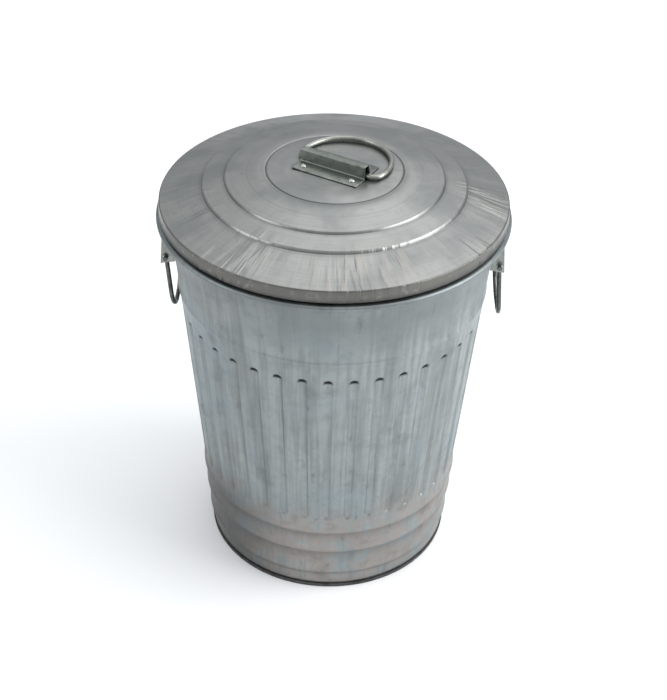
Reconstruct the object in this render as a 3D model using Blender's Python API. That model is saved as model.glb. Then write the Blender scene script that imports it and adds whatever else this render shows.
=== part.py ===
"""Galvanised fluted dustbin with a loose lid, modelled in metres with +Z up.

The can stands on Z = 0 and its axis is the Z axis. Its two bail handles are on +X and -X.
The lid sits over the neck of the can, and its carrying ring lies back on the lid.
"""
import math

import bmesh
import bpy
from mathutils import Matrix, Vector

# --- driving dimensions -------------------------------------------------------------------
GAP = 0.0003                  # clearance left between pieces that touch
SHEET = 0.0007                # galvanised sheet of the can, the base and the lid

# wall of the can: a cone with a wider shoulder under the mouth
WALL_FOOT_Z = 0.0016
WALL_BASE_R = 0.1695          # outer radius that the cone has at Z = 0
WALL_TAPER = 0.0847           # radius gained per unit of height
SHOULDER_LOW_Z = 0.459
SHOULDER_TOP_Z = 0.510
SHOULDER_TOP_R = 0.2165
NECK_R = 0.2224
NECK_FOOT_Z = 0.5200
NECK_TOP_Z = 0.5384
NECK_EDGE = 0.0016            # how far the safe edge of the neck turns in
RIM_BEAD_R = 0.2262           # centre of the half-round bead that stops the lid
RIM_BEAD_Z = 0.515
RIM_BEAD_TUBE = 0.0038
RIM_WIRE_TUBE = 0.0025
RIM_WIRE_R = 0.2260           # centre of the wire inside the bead

# swaged hoops: the height of the sharp lower edge of each one
LOWER_HOOPS_Z = (0.029, 0.072, 0.109)
LOWER_HOOP_RISE = 0.0024
LOWER_HOOP_CREST = 0.004
LOWER_HOOP_HEIGHT = 0.013
UPPER_HOOP_Z = 0.410
UPPER_HOOP_RISE = 0.0015
UPPER_HOOP_HEIGHT = 0.010

# flutes pressed into the wall
FLUTES = 39
FLUTE_LOW_Z = 0.136
FLUTE_TOP_Z = 0.390
FLUTE_MARGIN = 0.0012
FLUTE_SLOPE = 0.0030
FLUTE_DEPTH = 0.0024
FIRST_FLUTE = math.radians(-90.0)
WALL_STEPS = 2 * FLUTES
WALL_START = FIRST_FLUTE - math.pi / WALL_STEPS

# base plate: its upper side as (radius, height), with a raised middle and a turned-down edge
PLATE_STEPS = FLUTES
PLATE_PROFILE = ((0.0, 0.0155), (0.108, 0.0155), (0.114, 0.0130), (0.1630, 0.0130),
                 (0.1676, 0.0105), (0.1684, 0.0018))

# channel-shaped hoop that closes the foot, as (radius, height), inner lip to inner lip
FOOT_RING_PROFILE = ((0.1655, 0.0), (0.1710, 0.0), (0.1716, 0.0064), (0.1706, 0.0064),
                     (0.1701, 0.0012), (0.1665, 0.0012), (0.1665, 0.0058), (0.1655, 0.0058))

# lid: its outer side as (radius, height), from the middle down two steps to the skirt's foot
LID_STEPS = 60
LID_TOP_Z = 0.5762
LID_PROFILE = ((0.0, LID_TOP_Z), (0.0865, LID_TOP_Z), (0.0880, 0.5753), (0.0895, 0.5759),
               (0.1395, 0.5676), (0.1425, 0.5644), (0.1680, 0.5585), (0.1715, 0.5545),
               (0.2235, 0.5392), (0.2252, 0.5375), (0.2260, 0.5225))
LID_TURN = math.radians(-29.1)    # how far the loose lid is turned on the can

# clip that holds the carrying ring
CLIP_LENGTH = 0.095
CLIP_SHEET = 0.0012
CLIP_FRONT = -0.0077
CLIP_ROOF_BACK = 0.0023
CLIP_BACK = 0.0077
CLIP_HEIGHT = 0.0176
CLIP_FLANGE = 0.022
CLIP_RIVET_X = 0.0353
CLIP_RIVET_Y = 0.019

# carrying ring of the lid: a round bow with one flat side in the clip
RING_TUBE = 0.0035
RING_BOW_R = 0.0595
RING_BOW_Y = 0.019
RING_SHIFT = 0.0040           # how far the ring has slid along the clip
RING_CORNER_R = 0.012
RING_AXIS_Y = -0.0015
RING_AXIS_Z = LID_TOP_Z + RING_TUBE + 0.0004

# side handles and their ears
# each ear: name, side of the can (+1 for +X), end of the handle (+1 for +Y)
EARS = (("right_front", 1, -1), ("right_rear", 1, 1), ("left_front", -1, -1), ("left_rear", -1, 1))
HANDLE_TUBE = 0.003
HANDLE_PIVOT_X = 0.2155
HANDLE_PIVOT_Z = 0.4655
HANDLE_LEG_Y = 0.044
HANDLE_TIP_Y = 0.0535
HANDLE_DROP = 0.089
HANDLE_CORNER_R = 0.0335
HANDLE_LEAN = {1: math.radians(4.3), -1: math.radians(-4.2)}      # outwards, at rest
HANDLE_BEND_R = 0.005
EAR_SHEET = 0.0012
EAR_LUG_Y = 0.049
EAR_HALF_WIDTH = 0.009
EAR_LOW_Z = 0.4595
EAR_TOP_Z = 0.5055
EAR_LUG_LENGTH = 0.0235
EAR_EDGE_X = 0.2206
EAR_EDGE_Z = 0.4800
EAR_EDGE_LEAN = 0.080         # how fast the lug's outer edge runs in towards the top
EAR_HOLE_R = 0.0036
EAR_RIVET_PITCH = 0.018
EAR_RIVET_SHIFT = 0.001       # from the middle of the flange, away from the lug

# rivets
RIVET_STEPS = 8
RIVET_SHANK_R = 0.0020
RIVET_HEAD_R = 0.0044
RIVET_HEAD_H = 0.0024
RIVET_TAIL_R = 0.0036
RIVET_TAIL_H = 0.0014
RIVET_HOLE_R = 0.0025

# cutters for the holes
CUTTER_STEPS = 12
CUTTER_LENGTH = 0.012


# --- helpers ------------------------------------------------------------------------------
def clear_scene():
    for obj in list(bpy.data.objects):
        bpy.data.objects.remove(obj, do_unlink=True)


def make_material(name, color, roughness, metallic=1.0):
    material = bpy.data.materials.new(name)
    material.use_nodes = True
    shader = material.node_tree.nodes["Principled BSDF"]
    shader.inputs["Base Color"].default_value = (*color, 1.0)
    shader.inputs["Roughness"].default_value = roughness
    shader.inputs["Metallic"].default_value = metallic
    return material


def add_object(name, bm, material, smooth_angle=35.0):
    """Turn a bmesh into a named object with its own mesh and material."""
    mesh = bpy.data.meshes.new(name)
    bm.to_mesh(mesh)
    bm.free()
    mesh.shade_smooth()
    mesh.set_sharp_from_angle(angle=math.radians(smooth_angle))
    mesh.materials.append(material)
    obj = bpy.data.objects.new(name, mesh)
    bpy.context.collection.objects.link(obj)
    return obj


def set_origin(obj, point):
    """Move an object's origin to a point and leave its shape where it is."""
    obj.data.transform(Matrix.Translation(-Vector(point)))
    obj.location = point


def spin_profile(profile, steps, closed=False, start=0.0):
    """Spin a profile of (radius, height) points round the Z axis."""
    bm = bmesh.new()
    points = [Vector((r * math.cos(start), r * math.sin(start), z)) for r, z in profile]
    verts = [bm.verts.new(point) for point in points]
    pairs = list(zip(verts, verts[1:]))
    if closed:
        pairs.append((verts[-1], verts[0]))
    edges = [bm.edges.new(pair) for pair in pairs]
    bmesh.ops.spin(bm, geom=verts + edges, axis=(0, 0, 1), cent=(0, 0, 0), steps=steps,
                   angle=2 * math.pi, use_merge=True)
    bmesh.ops.remove_doubles(bm, verts=bm.verts, dist=1e-6)
    bmesh.ops.recalc_face_normals(bm, faces=bm.faces)
    return bm


def face_out(bm, up=False):
    """Point the faces of an open turned sheet away from the axis, or upwards."""
    def key(face):
        centre = face.calc_center_median()
        return -math.hypot(centre.x, centre.y) if up else math.hypot(centre.x, centre.y)
    face = max(bm.faces, key=key)
    centre = face.calc_center_median()
    out = Vector((0, 0, 1)) if up else Vector((centre.x, centre.y, 0))
    if face.normal.dot(out) < 0:
        bmesh.ops.reverse_faces(bm, faces=bm.faces)


def thicken(obj, thickness):
    """Give an open sheet its thickness on the inner side."""
    modifier = obj.modifiers.new("Sheet", "SOLIDIFY")
    modifier.thickness = thickness
    modifier.offset = -1.0
    modifier.use_even_offset = True


def add_cutter(name, places, radius):
    """Make one hidden cutter from a cylinder at each place."""
    bm = bmesh.new()
    for place in places:
        bmesh.ops.create_cone(bm, cap_ends=True, segments=CUTTER_STEPS, radius1=radius,
                              radius2=radius, depth=CUTTER_LENGTH, matrix=place)
    mesh = bpy.data.meshes.new(name)
    bm.to_mesh(mesh)
    bm.free()
    cutter = bpy.data.objects.new(name, mesh)
    bpy.context.collection.objects.link(cutter)
    cutter.hide_render = True
    cutter.display_type = "WIRE"
    return cutter


def cut_holes(obj, cutter):
    modifier = obj.modifiers.new("Holes", "BOOLEAN")
    modifier.operation = "DIFFERENCE"
    modifier.object = cutter


def extrude_outline(points, direction):
    """Extrude a flat outline of 3-D points along a direction into a closed solid."""
    bm = bmesh.new()
    face = bm.faces.new([bm.verts.new(point) for point in points])
    moved = bmesh.ops.extrude_face_region(bm, geom=[face])["geom"]
    verts = [item for item in moved if isinstance(item, bmesh.types.BMVert)]
    bmesh.ops.translate(bm, verts=verts, vec=direction)
    bmesh.ops.recalc_face_normals(bm, faces=bm.faces)
    return bm


def arc(centre, radius, first, last, steps):
    """Points of an arc in a plane, both ends included, with angles in degrees."""
    points = []
    for step in range(steps + 1):
        angle = math.radians(first + (last - first) * step / steps)
        points.append((centre[0] + radius * math.cos(angle), centre[1] + radius * math.sin(angle)))
    return points


def add_wire(name, points, tube, material, origin, cyclic=False):
    """Bend a round wire along points that are given relative to its origin."""
    curve = bpy.data.curves.new(name, "CURVE")
    curve.dimensions = "3D"
    curve.bevel_depth = tube
    curve.bevel_resolution = 2
    curve.use_fill_caps = True
    spline = curve.splines.new("POLY")
    spline.points.add(len(points) - 1)
    for target, point in zip(spline.points, points):
        target.co = (*point, 1.0)
    spline.use_cyclic_u = cyclic
    curve.materials.append(material)
    obj = bpy.data.objects.new(name, curve)
    bpy.context.collection.objects.link(obj)
    obj.location = origin
    return obj


# --- the can ------------------------------------------------------------------------------
def cone_radius(z):
    return WALL_BASE_R + WALL_TAPER * z


def shoulder_radius(z):
    low = cone_radius(SHOULDER_LOW_Z)
    share = (z - SHOULDER_LOW_Z) / (SHOULDER_TOP_Z - SHOULDER_LOW_Z)
    return low + (SHOULDER_TOP_R - low) * share


def hoop_points(z, rise, crest, height):
    """Lower edge, crest and upper edge of a hoop swaged out of the cone."""
    return [(cone_radius(z), z),
            (cone_radius(z + crest) + rise, z + crest),
            (cone_radius(z + height), z + height)]


def wall_profile():
    """Outer side of the wall, from the foot to the safe edge of the neck."""
    points = [(cone_radius(WALL_FOOT_Z), WALL_FOOT_Z)]
    for z in LOWER_HOOPS_Z:
        points += hoop_points(z, LOWER_HOOP_RISE, LOWER_HOOP_CREST, LOWER_HOOP_HEIGHT)
    points += [(cone_radius(FLUTE_LOW_Z), FLUTE_LOW_Z), (cone_radius(FLUTE_TOP_Z), FLUTE_TOP_Z)]
    points += hoop_points(UPPER_HOOP_Z, UPPER_HOOP_RISE, UPPER_HOOP_HEIGHT / 2, UPPER_HOOP_HEIGHT)
    points += [(cone_radius(SHOULDER_LOW_Z), SHOULDER_LOW_Z), (SHOULDER_TOP_R, SHOULDER_TOP_Z)]
    points += arc((RIM_BEAD_R, RIM_BEAD_Z), RIM_BEAD_TUBE, -100.0, 100.0, 4)
    points += [(NECK_R, NECK_FOOT_Z), (NECK_R, NECK_TOP_Z - NECK_EDGE),
               (NECK_R - NECK_EDGE, NECK_TOP_Z)]
    return points


def is_flute(face):
    """True for the tall faces of the wall that every second column of facets has."""
    centre = face.calc_center_median()
    if not FLUTE_LOW_Z < centre.z < FLUTE_TOP_Z:
        return False
    column = (math.atan2(centre.y, centre.x) - WALL_START) / (2 * math.pi / WALL_STEPS)
    return math.floor(column) % WALL_STEPS % 2 == 0


def build_body_shell(material):
    bm = spin_profile(wall_profile(), WALL_STEPS, start=WALL_START)
    face_out(bm)
    flutes = [face for face in bm.faces if is_flute(face)]
    bmesh.ops.inset_individual(bm, faces=flutes, thickness=FLUTE_MARGIN, depth=0.0,
                               use_even_offset=True)
    bmesh.ops.inset_individual(bm, faces=flutes, thickness=FLUTE_SLOPE, depth=-FLUTE_DEPTH,
                               use_even_offset=True)
    shell = add_object("body_shell", bm, material)
    thicken(shell, SHEET)
    places = [rivet[1] for ear in EARS for rivet in ear_rivets(*ear)]
    cut_holes(shell, add_cutter("wall_rivet_cutter", places, RIVET_HOLE_R))


def build_rim_wire(material):
    profile = arc((RIM_WIRE_R, RIM_BEAD_Z), RIM_WIRE_TUBE, 0.0, 300.0, 5)
    add_object("rim_wire", spin_profile(profile, WALL_STEPS, True, WALL_START), material, 80.0)


def build_base_plate(material):
    bm = spin_profile(PLATE_PROFILE, PLATE_STEPS, start=WALL_START)
    face_out(bm, up=True)
    thicken(add_object("base_plate", bm, material), SHEET)


def build_base_ring(material):
    bm = spin_profile(FOOT_RING_PROFILE, WALL_STEPS, True, WALL_START)
    add_object("base_ring", bm, material)


# --- ears and side handles ----------------------------------------------------------------
def ear_frame(side, end):
    """Seat of an ear on the shoulder: a point, and the outward, sideways and upward axes."""
    middle = (EAR_LOW_Z + EAR_TOP_Z) / 2
    radius = shoulder_radius(middle)
    angle = math.asin(EAR_LUG_Y / radius) - EAR_HALF_WIDTH / radius
    lean = math.atan2(SHOULDER_TOP_R - cone_radius(SHOULDER_LOW_Z), SHOULDER_TOP_Z - SHOULDER_LOW_Z)
    radial = Vector((side * math.cos(angle), end * math.sin(angle), 0))
    inwards = Vector((side * math.sin(angle), -end * math.cos(angle), 0))
    outward = radial * math.cos(lean) - Vector((0, 0, math.sin(lean)))
    upward = radial * math.sin(lean) + Vector((0, 0, math.cos(lean)))
    return radial * radius + Vector((0, 0, middle)), outward, inwards, upward


def build_ear(name, side, end, material):
    """A folded ear: a flange against the shoulder and a lug that stands out from it."""
    seat, outward, inwards, upward = ear_frame(side, end)
    half_height = (EAR_TOP_Z - EAR_LOW_Z) / 2 / upward.z
    lug = Vector((side, 0, 0)) - upward * (side * upward.x)
    lug.normalize()

    def point(sideways, out, along=0.0):
        return seat + inwards * sideways + outward * out + lug * along - upward * half_height

    near = GAP
    far = GAP + EAR_SHEET
    outline = [point(EAR_HALF_WIDTH, near), point(EAR_HALF_WIDTH, far),
               point(EAR_SHEET - EAR_HALF_WIDTH, far),
               point(EAR_SHEET - EAR_HALF_WIDTH, far, EAR_LUG_LENGTH),
               point(-EAR_HALF_WIDTH, far, EAR_LUG_LENGTH), point(-EAR_HALF_WIDTH, near)]
    bm = extrude_outline(outline, upward * 2 * half_height)
    edge = Vector((side, 0, EAR_EDGE_LEAN)).normalized()
    cut = bmesh.ops.bisect_plane(bm, geom=bm.verts[:] + bm.edges[:] + bm.faces[:],
                                 plane_co=(side * EAR_EDGE_X, 0, EAR_EDGE_Z), plane_no=edge,
                                 clear_outer=True)
    rim = [item for item in cut["geom_cut"] if isinstance(item, bmesh.types.BMEdge)]
    bmesh.ops.contextual_create(bm, geom=rim)
    bmesh.ops.recalc_face_normals(bm, faces=bm.faces)
    ear = add_object("ear_" + name, bm, material)
    pivot = Matrix.Translation((side * HANDLE_PIVOT_X, end * EAR_LUG_Y, HANDLE_PIVOT_Z))
    places = [pivot @ Matrix.Rotation(math.pi / 2, 4, "X")]
    cut_holes(ear, add_cutter("ear_pin_cutter_" + name, places, EAR_HOLE_R))
    places = [rivet[1] for rivet in ear_rivets(name, side, end)]
    cut_holes(ear, add_cutter("ear_rivet_cutter_" + name, places, RIVET_HOLE_R))


def rivet_place(point, axis):
    return Matrix.Translation(point) @ axis.to_track_quat("Z", "X").to_matrix().to_4x4()


def ear_rivets(name, side, end):
    """Name and place of the two rivets of an ear."""
    seat, outward, inwards, upward = ear_frame(side, end)
    places = []
    for level, shift in (("lower", -0.5), ("upper", 0.5)):
        point = seat + inwards * EAR_RIVET_SHIFT + upward * (shift * EAR_RIVET_PITCH)
        places.append(("rivet_ear_%s_%s" % (name, level), rivet_place(point, outward)))
    return places


def build_rivet(name, place, head_z, tail_z, material):
    """A rivet whose head sits at head_z above its seat, and its tail at tail_z below it."""
    profile = [(0.0, head_z + RIVET_HEAD_H), (0.75 * RIVET_HEAD_R, head_z + 0.7 * RIVET_HEAD_H),
               (RIVET_HEAD_R, head_z), (RIVET_SHANK_R, head_z), (RIVET_SHANK_R, tail_z),
               (RIVET_TAIL_R, tail_z), (0.0, tail_z - RIVET_TAIL_H)]
    bm = spin_profile(profile, RIVET_STEPS)
    bmesh.ops.transform(bm, matrix=place, verts=bm.verts)
    add_object(name, bm, material)


def handle_path():
    """Half of the bail as (sideways, downward) points, mirrored to make the whole."""
    half = [(-HANDLE_TIP_Y, 0.0)]
    bend = HANDLE_BEND_R
    half += arc((-HANDLE_LEG_Y - bend, bend), bend, -90.0, 0.0, 4)
    corner = HANDLE_CORNER_R
    half += arc((-HANDLE_LEG_Y + corner, HANDLE_DROP - corner), corner, 180.0, 90.0, 7)
    return half + [(-y, down) for y, down in reversed(half)]


def build_side_handle(name, side, material):
    out = side * math.sin(HANDLE_LEAN[side])
    fall = math.cos(HANDLE_LEAN[side])
    points = [(down * out, y, -down * fall) for y, down in handle_path()]
    add_wire(name, points, HANDLE_TUBE, material, (side * HANDLE_PIVOT_X, 0.0, HANDLE_PIVOT_Z))


# --- the lid ------------------------------------------------------------------------------
def lid_place(x, y, z):
    """Place of something on the turned lid, as a matrix whose Z axis points up."""
    return Matrix.Rotation(LID_TURN, 4, "Z") @ Matrix.Translation((x, y, z))


def clip_rivets():
    places = []
    for row, y in (("front", -CLIP_RIVET_Y), ("rear", CLIP_RIVET_Y)):
        for column, x in (("left", -CLIP_RIVET_X), ("right", CLIP_RIVET_X)):
            places.append(("rivet_clip_%s_%s" % (row, column), lid_place(x, y, LID_TOP_Z)))
    return places


def build_lid_shell(material):
    bm = spin_profile(LID_PROFILE, LID_STEPS)
    face_out(bm, up=True)
    lid = add_object("lid_shell", bm, material, 20.0)
    thicken(lid, SHEET)
    places = [place for name, place in clip_rivets()]
    cut_holes(lid, add_cutter("lid_rivet_cutter", places, RIVET_HOLE_R))


def build_lid_clip(material):
    """Hat-shaped clip: two flanges on the lid, a tunnel with an upright front and a sloping back."""
    top = CLIP_HEIGHT
    sheet = CLIP_SHEET
    slope = (CLIP_BACK - CLIP_ROOF_BACK) / top
    outer = [(CLIP_FRONT - CLIP_FLANGE, 0.0), (CLIP_FRONT - CLIP_FLANGE, sheet),
             (CLIP_FRONT, sheet), (CLIP_FRONT, top), (CLIP_ROOF_BACK, top),
             (CLIP_BACK - slope * sheet, sheet), (CLIP_BACK + CLIP_FLANGE, sheet),
             (CLIP_BACK + CLIP_FLANGE, 0.0)]
    inner = [(CLIP_BACK - sheet, 0.0), (CLIP_ROOF_BACK - sheet + slope * sheet, top - sheet),
             (CLIP_FRONT + sheet, top - sheet), (CLIP_FRONT + sheet, 0.0)]
    points = [Vector((-CLIP_LENGTH / 2, y, z)) for y, z in outer + inner]
    bm = extrude_outline(points, Vector((CLIP_LENGTH, 0, 0)))
    bmesh.ops.transform(bm, matrix=lid_place(0, 0, LID_TOP_Z + GAP), verts=bm.verts)
    clip = add_object("lid_clip", bm, material)
    places = [place for name, place in clip_rivets()]
    cut_holes(clip, add_cutter("clip_rivet_cutter", places, RIVET_HOLE_R))


def ring_path():
    """The ring's centre line, relative to its straight side, as (along, back) points."""
    bow = RING_BOW_Y - RING_AXIS_Y
    corner = RING_CORNER_R
    across = math.sqrt((RING_BOW_R - corner) ** 2 - (corner - bow) ** 2)
    tilt = math.degrees(math.atan2(corner - bow, across))
    points = arc((RING_SHIFT + across, corner), corner, -90.0, tilt, 4)
    points += arc((RING_SHIFT, bow), RING_BOW_R, tilt, 180.0 - tilt, 20)[1:-1]
    points += arc((RING_SHIFT - across, corner), corner, 180.0 - tilt, 270.0, 4)
    return points


def build_lid_ring(material):
    turn = Matrix.Rotation(LID_TURN, 4, "Z")
    points = [turn @ Vector((x, y, 0.0)) for x, y in ring_path()]
    origin = lid_place(0.0, RING_AXIS_Y, RING_AXIS_Z).to_translation()
    add_wire("lid_ring", points, RING_TUBE, material, origin, cyclic=True)


# --- assembly -----------------------------------------------------------------------------
def main():
    clear_scene()
    can_sheet = make_material("galvanised_can", (0.46, 0.49, 0.50), 0.42)
    lid_sheet = make_material("galvanised_lid", (0.44, 0.46, 0.46), 0.38)
    foot_steel = make_material("dark_foot_steel", (0.10, 0.10, 0.10), 0.55)
    clip_steel = make_material("clip_steel", (0.34, 0.36, 0.34), 0.40)
    wire_steel = make_material("zinc_wire", (0.48, 0.49, 0.47), 0.30)
    ear_steel = make_material("ear_steel", (0.36, 0.38, 0.37), 0.45)
    rivet_steel = make_material("rivet_steel", (0.60, 0.61, 0.60), 0.30)

    build_body_shell(can_sheet)
    build_rim_wire(wire_steel)
    build_base_plate(can_sheet)
    build_base_ring(foot_steel)
    for name, side, end in EARS:
        build_ear(name, side, end, ear_steel)
        for rivet, place in ear_rivets(name, side, end):
            build_rivet(rivet, place, 2 * GAP + EAR_SHEET, -SHEET - 2 * GAP, rivet_steel)
    build_side_handle("side_handle_right", 1, wire_steel)
    build_side_handle("side_handle_left", -1, wire_steel)

    build_lid_shell(lid_sheet)
    build_lid_clip(clip_steel)
    build_lid_ring(wire_steel)
    for rivet, place in clip_rivets():
        build_rivet(rivet, place, 2 * GAP + CLIP_SHEET, -SHEET - GAP, rivet_steel)


main()
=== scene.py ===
"""Finish for a galvanised waste can with a loose lid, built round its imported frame.

The can's axis is the Z axis, the floor is Z = 0, and the bail handles are on +X and -X.
"""

import math

import bmesh
import bpy
from mathutils import Matrix, Vector, noise


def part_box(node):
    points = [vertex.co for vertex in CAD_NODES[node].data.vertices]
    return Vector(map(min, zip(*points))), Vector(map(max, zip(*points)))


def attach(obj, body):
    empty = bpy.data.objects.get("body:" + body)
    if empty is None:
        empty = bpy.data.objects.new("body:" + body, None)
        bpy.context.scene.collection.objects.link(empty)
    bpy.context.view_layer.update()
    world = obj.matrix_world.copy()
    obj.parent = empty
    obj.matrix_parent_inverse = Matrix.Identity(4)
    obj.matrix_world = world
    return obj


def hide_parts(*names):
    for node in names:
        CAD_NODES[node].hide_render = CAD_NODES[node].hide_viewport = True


bl_info = {
    "name": "Galvanised Waste Can",
    "version": (1, 0, 0),
    "blender": (4, 5, 0),
    "location": "3D View > Sidebar > Waste Can",
    "description": "Fluted galvanised can with a loose stepped lid and wire bails",
    "category": "Object",
}

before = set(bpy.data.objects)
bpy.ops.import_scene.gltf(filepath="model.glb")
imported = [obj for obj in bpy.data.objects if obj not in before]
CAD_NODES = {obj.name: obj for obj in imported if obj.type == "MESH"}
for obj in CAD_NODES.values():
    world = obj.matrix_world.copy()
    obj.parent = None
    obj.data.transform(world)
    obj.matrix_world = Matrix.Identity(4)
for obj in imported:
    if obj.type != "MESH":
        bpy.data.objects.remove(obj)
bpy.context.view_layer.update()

WALL_LOW, WALL_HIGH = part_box("body_shell")
LID_LOW, LID_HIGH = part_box("lid_shell")
PLATE_LOW, PLATE_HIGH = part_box("base_plate")
FOOT_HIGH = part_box("base_ring")[1]


# --- sizes and colours that a user would change -------------------------------------------
def length(name, description, default):
    return bpy.props.FloatProperty(name=name, description=description, default=default,
                                   unit="LENGTH", subtype="DISTANCE", precision=4)


def rotation(name, description, degrees):
    return bpy.props.FloatProperty(name=name, description=description, subtype="ANGLE",
                                   unit="ROTATION", default=math.radians(degrees))


def position(name, description, default):
    return bpy.props.FloatVectorProperty(name=name, description=description, size=3,
                                         unit="LENGTH", subtype="TRANSLATION", default=default)


def colour(name, description, code):
    return bpy.props.FloatVectorProperty(name=name, description=description, subtype="COLOR",
                                         size=4, min=0.0, max=1.0, default=linear(code))


def linear(code):
    """Turn an sRGB hex colour into linear red, green, blue and alpha."""
    parts = [int(code[i:i + 2], 16) / 255 for i in (1, 3, 5)]
    return (*[v / 12.92 if v <= 0.04045 else ((v + 0.055) / 1.055) ** 2.4 for v in parts], 1.0)


class CanSizes(bpy.types.PropertyGroup):
    sheet: length("Sheet", "Thickness of the galvanised sheet", 0.0007)
    base_radius: length("Radius at floor", "Radius that the wall's cone has at the floor", 0.1695)
    taper: bpy.props.FloatProperty(name="Taper", description="Radius gained per unit of height",
                                   default=0.0847, precision=4)
    shoulder_z: length("Shoulder", "Height where the wall widens", 0.459)
    shoulder_top_z: length("Shoulder top", "Height where the shoulder ends", 0.510)
    shoulder_top_r: length("Shoulder radius", "Radius at the top of the shoulder", 0.2165)
    bead_tube: length("Rim bead", "Half thickness of the wired bead under the lid", 0.0038)
    bead_z: length("Rim bead height", "Height of the middle of the wired bead", 0.515)
    neck_r: length("Neck radius", "Radius of the neck inside the lid", 0.2224)
    flutes: bpy.props.IntProperty(name="Flutes", description="Flutes round the wall", default=39)
    flute_low_z: length("Flute foot", "Height where the flutes begin", 0.1355)
    flute_top_z: length("Flute top", "Height where the flutes end", 0.3905)
    flute_half: length("Flute half width", "Half of a flute's opening", 0.0070)
    flute_depth: length("Flute depth", "How far a flute is pressed in", 0.0027)
    dent: length("Dents", "Depth of the wall's soft handling dents", 0.0006)


class LidSizes(bpy.types.PropertyGroup):
    turn: rotation("Turn", "How far the loose lid is turned", -29.1)
    wave: length("Wave", "Height of the soft waves in the lid's outer part", 0.00035)
    clip_length: length("Clip length", "Length of the clip that holds the ring", 0.095)
    clip_height: length("Clip height", "Height of the clip's tunnel", 0.0176)
    clip_sheet: length("Clip sheet", "Thickness of the clip", 0.0012)
    ring_tube: length("Ring wire", "Half thickness of the carrying ring's wire", 0.0035)
    ring_bow: length("Ring bow", "Radius of the carrying ring's bow", 0.0595)
    ring_shift: length("Ring shift", "How far the ring has slid along the clip", 0.0040)


class HandleSizes(bpy.types.PropertyGroup):
    tube: length("Wire", "Half thickness of the bail's wire", 0.003)
    pivot_x: length("Pivot distance", "Distance of the pivot from the can's axis", 0.2155)
    pivot_z: length("Pivot height", "Height of the pivot", 0.4655)
    leg_y: length("Leg distance", "Half of the distance between the legs", 0.044)
    tip_y: length("Tip distance", "Half of the distance between the tips", 0.0535)
    drop: length("Drop", "How far the bail hangs below its pivot", 0.089)
    corner: length("Corner", "Radius of the bail's lower corners", 0.0335)
    lean_right: rotation("Lean, right", "How far the right bail leans outwards at rest", 4.3)
    lean_left: rotation("Lean, left", "How far the left bail leans outwards at rest", -4.2)


class FinishColours(bpy.types.PropertyGroup):
    zinc: colour("Zinc", "Plain weathered zinc coat of the wall", "#989D9D")
    # also the colour of painted shade under the shoulder
    zinc_dark_and_shade: colour("Zinc, dull", "Duller streaks of the wall", "#737878")
    zinc_blue: colour("Zinc, bluish", "Cool cloudy patches of the wall", "#8C989C")
    zinc_warm: colour("Zinc, stained", "Warm stains low on the wall", "#9C9590")
    lid_zinc: colour("Lid zinc", "Wiped zinc coat of the lid", "#9A9B99")
    lid_dark: colour("Lid zinc, dull", "Duller marks of the lid", "#7C8080")
    lid_warm: colour("Lid zinc, warm", "Warm tint near the front of the lid", "#A39E9A")
    skirt: colour("Lid skirt", "Soiled skirt of the lid", "#62615D")
    # also the colour of painted shade: at the flute tops, under the hoops, in the gap under the
    # lid, low on one side of the wall and in the lid's grooves
    grime_and_shade: colour("Grime", "Dirt in edges and corners", "#1E2022")
    wire: colour("Ring wire", "Drawn and plated wire of the lid ring and rim", "#9A9D96")
    bail: colour("Handle wire", "Handled and duller wire of the bails", "#5C5E5B")
    clip: colour("Clip", "Zinc-plated strip of the clip", "#7E837D")
    ear: colour("Ear", "Zinc-plated strip of the ears", "#868A85")
    rivet: colour("Rivet", "Bright rivets", "#B9BAB6")
    foot: colour("Foot", "Dark rolled foot", "#5A5A58")
    floor: colour("Floor", "Pale studio floor", "#F9FAFB")


class StageSettings(bpy.types.PropertyGroup):
    camera_place: position("Camera", "Where the camera stands", (0.02265, -1.62176, 1.48212))
    camera_aim: position("Aim", "Point that the camera looks at", (0.00334, 0.00004, 0.28919))
    camera_roll: rotation("Roll", "Turn of the camera about its line of sight", 1.3)
    focal: bpy.props.FloatProperty(
        name="Lens", description="Focal length", default=74.57, unit="CAMERA")
    floor_half: length("Floor", "Half of the floor's side", 14.0)


# --- helpers for meshes -------------------------------------------------------------------
FULL_TURN = 2 * math.pi
MERGE = 1e-6                  # points closer than this are one point


def spaced(low, high, steps):
    return [low + (high - low) * step / steps for step in range(steps + 1)]


def spaced_line(start, end, steps):
    return [tuple(Vector(start).lerp(Vector(end), step / steps)) for step in range(steps + 1)]


def arc(centre, radius, first, last, steps):
    """Points of an arc in a plane, both ends included, with angles in degrees."""
    points = []
    for step in range(steps + 1):
        angle = math.radians(first + (last - first) * step / steps)
        points.append((centre[0] + radius * math.cos(angle), centre[1] + radius * math.sin(angle)))
    return points


def fillet(points, radius, steps=4):
    """Round the inner corners of an open outline of 2-D points."""
    rounded = [points[0]]
    for before, corner, after in zip(points, points[1:], points[2:]):
        to_before = (Vector(before) - Vector(corner)).normalized()
        to_after = (Vector(after) - Vector(corner)).normalized()
        half = to_before.angle(to_after) / 2
        reach = min(radius / math.tan(half), 0.45 * (Vector(before) - Vector(corner)).length,
                    0.45 * (Vector(after) - Vector(corner)).length)
        start = Vector(corner) + to_before * reach
        end = Vector(corner) + to_after * reach
        for step in range(steps + 1):
            share = step / steps
            low = start.lerp(Vector(corner), share)
            high = Vector(corner).lerp(end, share)
            rounded.append(tuple(low.lerp(high, share)))
    return rounded + [points[-1]]


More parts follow.
